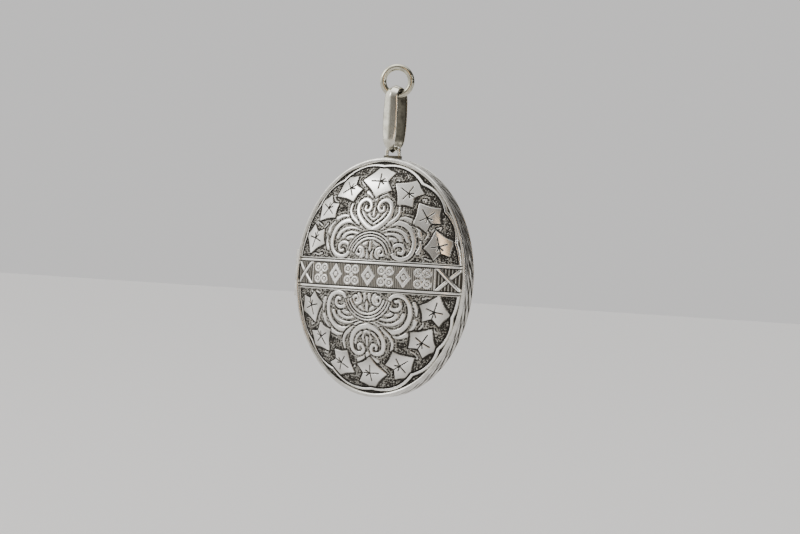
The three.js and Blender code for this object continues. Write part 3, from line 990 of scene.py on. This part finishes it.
for half, body, outer_side in (("front", "lid", -1), ("back", "case", 1)):
    oval_plate(f"{half}_plate", f"{half}_picture_plate", inner_silver, body, "plain_silver", 0.05)
    oval_plate(f"{half}_card", f"{half}_picture_card", card_stock, body, "card", 0.04)
    oval_plate(f"{half}_pane", f"{half}_glass", picture_glass, body, "glass", 0.08)
    picture_frame(f"{half}_gilt_frame", f"{half}_picture_frame", body, outer_side)

flange_low, flange_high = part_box("closing_flange")
flange_reach = (flange_high.z - flange_low.z) / 2 / MM
flange_wall = 0.4
flange_corners = [
    (flange_reach - flange_wall, flange_low.y / MM), (flange_reach, flange_low.y / MM),
    (flange_reach, flange_high.y / MM), (flange_reach - flange_wall, flange_high.y / MM)]
finished(
    "snap_rim", oval_spun(rounded(flange_corners, 0.12)), inner_silver, "case", "plain_silver",
    "closing_flange")


# ---- hinge -----------------------------------------------------------------------------------
# Three drawn tubes soldered into the grooves, two on the case and one on the lid, and a hard
# silver pin through them with its ends rounded over.

def hinge_turned(profile):
    """A profile of (radius, height) points in metres, turned about the hinge pin's axis."""
    shape = bmesh.new()
    verts = [shape.verts.new((pin_middle.x + r, pin_middle.y, z)) for r, z in profile]
    for a, b in zip(verts, verts[1:] + verts[:1]):
        if a.co.x > pin_middle.x + 1e-7 or b.co.x > pin_middle.x + 1e-7:
            shape.edges.new((a, b))
    bmesh.ops.spin(
        shape, geom=shape.edges[:], cent=(pin_middle.x, pin_middle.y, 0), axis=(0, 0, 1),
        angle=2 * math.pi, steps=36, use_merge=True)
    bmesh.ops.remove_doubles(shape, verts=shape.verts, dist=1e-8)
    bmesh.ops.recalc_face_normals(shape, faces=shape.faces)
    return shape


bore = 0.4 * MM
for node, body in (
        ("back_hinge_knuckle_bottom", "case"), ("front_hinge_knuckle", "lid"),
        ("back_hinge_knuckle_top", "case")):
    low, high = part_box(node)
    corners = [(bore, low.z), (knuckle_radius, low.z), (knuckle_radius, high.z), (bore, high.z)]
    tube = hinge_turned(rounded(corners, 0.09 * MM))
    finished(f"turned_{node}", tube, worn_silver, body, "plain_silver", node)

pin_radius = (pin_high.x - pin_low.x) / 2
pin_corners = [(0, pin_low.z), (pin_radius, pin_low.z), (pin_radius, pin_high.z), (0, pin_high.z)]
finished(
    "riveted_hinge_pin", hinge_turned(rounded(pin_corners, 0.15 * MM, 4)), polished_silver, "case",
    "polished_silver", "hinge_pin")


# ---- studio ----------------------------------------------------------------------------------
# The locket hangs over a plain pale floor in soft light from the upper left.

floor_drop = 60 * MM
floor_shape = bmesh.new()
bmesh.ops.create_grid(floor_shape, x_segments=1, y_segments=1, size=6)
floor_mesh = bpy.data.meshes.new("floor")
floor_shape.to_mesh(floor_mesh)
floor_shape.free()
floor = bpy.data.objects.new("floor", floor_mesh)
floor_mesh.transform(Matrix.Translation((0, 0, cad_box[0].z - floor_drop)))
floor_paint = bpy.data.materials.new("pale floor")
floor_paint.use_nodes = True
shader = floor_paint.node_tree.nodes["Principled BSDF"]
shader.inputs["Base Color"].default_value = (0.66, 0.65, 0.645, 1)
shader.inputs["Roughness"].default_value = 0.9
floor_mesh.materials.append(floor_paint)
bpy.context.collection.objects.link(floor)

world = bpy.data.worlds.new("soft studio")
world.use_nodes = True
tree = world.node_tree
looking = tree.nodes.new("ShaderNodeTexCoord")
window_side = tree.nodes.new("ShaderNodeVectorMath")
window_side.operation = "DOT_PRODUCT"
window_side.inputs[1].default_value = (-0.86, -0.12, 0.5)
room = tree.nodes.new("ShaderNodeValToRGB")
room.color_ramp.interpolation = "EASE"
room.color_ramp.elements[0].color = (0.03, 0.028, 0.026, 1)
room.color_ramp.elements[1].color = (1.8, 1.79, 1.75, 1)
room.color_ramp.elements.new(0.45).color = (0.12, 0.115, 0.11, 1)
room.color_ramp.elements.new(0.74).color = (0.78, 0.77, 0.75, 1)
centred = tree.nodes.new("ShaderNodeMapRange")
centred.inputs["From Min"].default_value = -1
split = tree.nodes.new("ShaderNodeSeparateXYZ")
overhead = tree.nodes.new("ShaderNodeMapRange")
overhead.interpolation_type = "SMOOTHSTEP"
overhead.inputs["From Min"].default_value = 0.7
overhead.inputs["From Max"].default_value = 0.95
overhead.inputs["To Max"].default_value = 1.7
lit = tree.nodes.new("ShaderNodeMix")
lit.data_type = "RGBA"
lit.blend_type = "ADD"
lit.inputs[0].default_value = 1
towards = tree.nodes.new("ShaderNodeVectorMath")
towards.operation = "DOT_PRODUCT"
towards.inputs[1].default_value = (-0.454, 0.891, 0)
behind = tree.nodes.new("ShaderNodeMapRange")
behind.interpolation_type = "SMOOTHSTEP"
behind.inputs["From Min"].default_value = 0.62
behind.inputs["From Max"].default_value = 0.95
backdrop = tree.nodes.new("ShaderNodeMix")
backdrop.data_type = "RGBA"
backdrop.inputs[7].default_value = (0.74, 0.73, 0.725, 1)
wire(tree, looking.outputs["Generated"], window_side.inputs[0])
wire(tree, looking.outputs["Generated"], towards.inputs[0])
wire(tree, looking.outputs["Generated"], split.inputs["Vector"])
wire(tree, window_side.outputs["Value"], centred.inputs["Value"])
wire(tree, centred.outputs["Result"], room.inputs["Fac"])
wire(tree, split.outputs["Z"], overhead.inputs["Value"])
wire(tree, room.outputs["Color"], lit.inputs[6])
wire(tree, overhead.outputs["Result"], lit.inputs[7])
wire(tree, towards.outputs["Value"], behind.inputs["Value"])
wire(tree, behind.outputs["Result"], backdrop.inputs[0])
wire(tree, lit.outputs[2], backdrop.inputs[6])
wire(tree, backdrop.outputs[2], tree.nodes["Background"].inputs["Color"])
bpy.context.scene.world = world

case_centre = Vector((0, rim_plane, cover_middle))


def softbox(name, direction, distance, size, power, colour=(1, 1, 1)):
    """A square soft light aimed at the case from a direction."""
    lamp = bpy.data.lights.new(name, "AREA")
    lamp.shape = "RECTANGLE"
    lamp.size, lamp.size_y = size
    lamp.energy = power
    lamp.color = colour
    holder = bpy.data.objects.new(name, lamp)
    away = Vector(direction).normalized()
    holder.location = case_centre + away * distance
    holder.rotation_euler = away.to_track_quat("Z", "Y").to_euler()
    bpy.context.collection.objects.link(holder)


softbox("window", (-0.9, -1.0, 0.75), 2.0, (0.9, 0.9), 14)
softbox("side_strip", (0.97, -0.2, 0.1), 1.5, (0.08, 1.2), 3)
softbox("warm_bounce", (0.5, -0.87, 0), 1.5, (0.22, 1.8), 4, (1.0, 0.72, 0.46))

camera_turn = math.radians(27)
camera_roll = math.radians(3.35)
camera_distance = 548 * MM
camera_aside = 4.26 * MM
camera_raised = 2.19 * MM
camera_data = bpy.data.cameras.new("camera")
camera_data.sensor_width = 36
camera_data.lens = 117
camera_data.clip_start = 0.01
camera = bpy.data.objects.new("camera", camera_data)
back = Vector((math.sin(camera_turn), -math.cos(camera_turn), 0))
right = Vector((math.cos(camera_turn), math.sin(camera_turn), 0))
up = Vector((0, 0, 1))
tilted_right = right * math.cos(camera_roll) + up * math.sin(camera_roll)
tilted_up = up * math.cos(camera_roll) - right * math.sin(camera_roll)
turned = Matrix((tilted_right, tilted_up, back)).transposed()
aside = tilted_right * camera_aside + tilted_up * camera_raised
camera.matrix_world = Matrix.Translation(case_centre + back * camera_distance + aside) @ turned.to_4x4()
bpy.context.collection.objects.link(camera)
bpy.context.scene.camera = camera
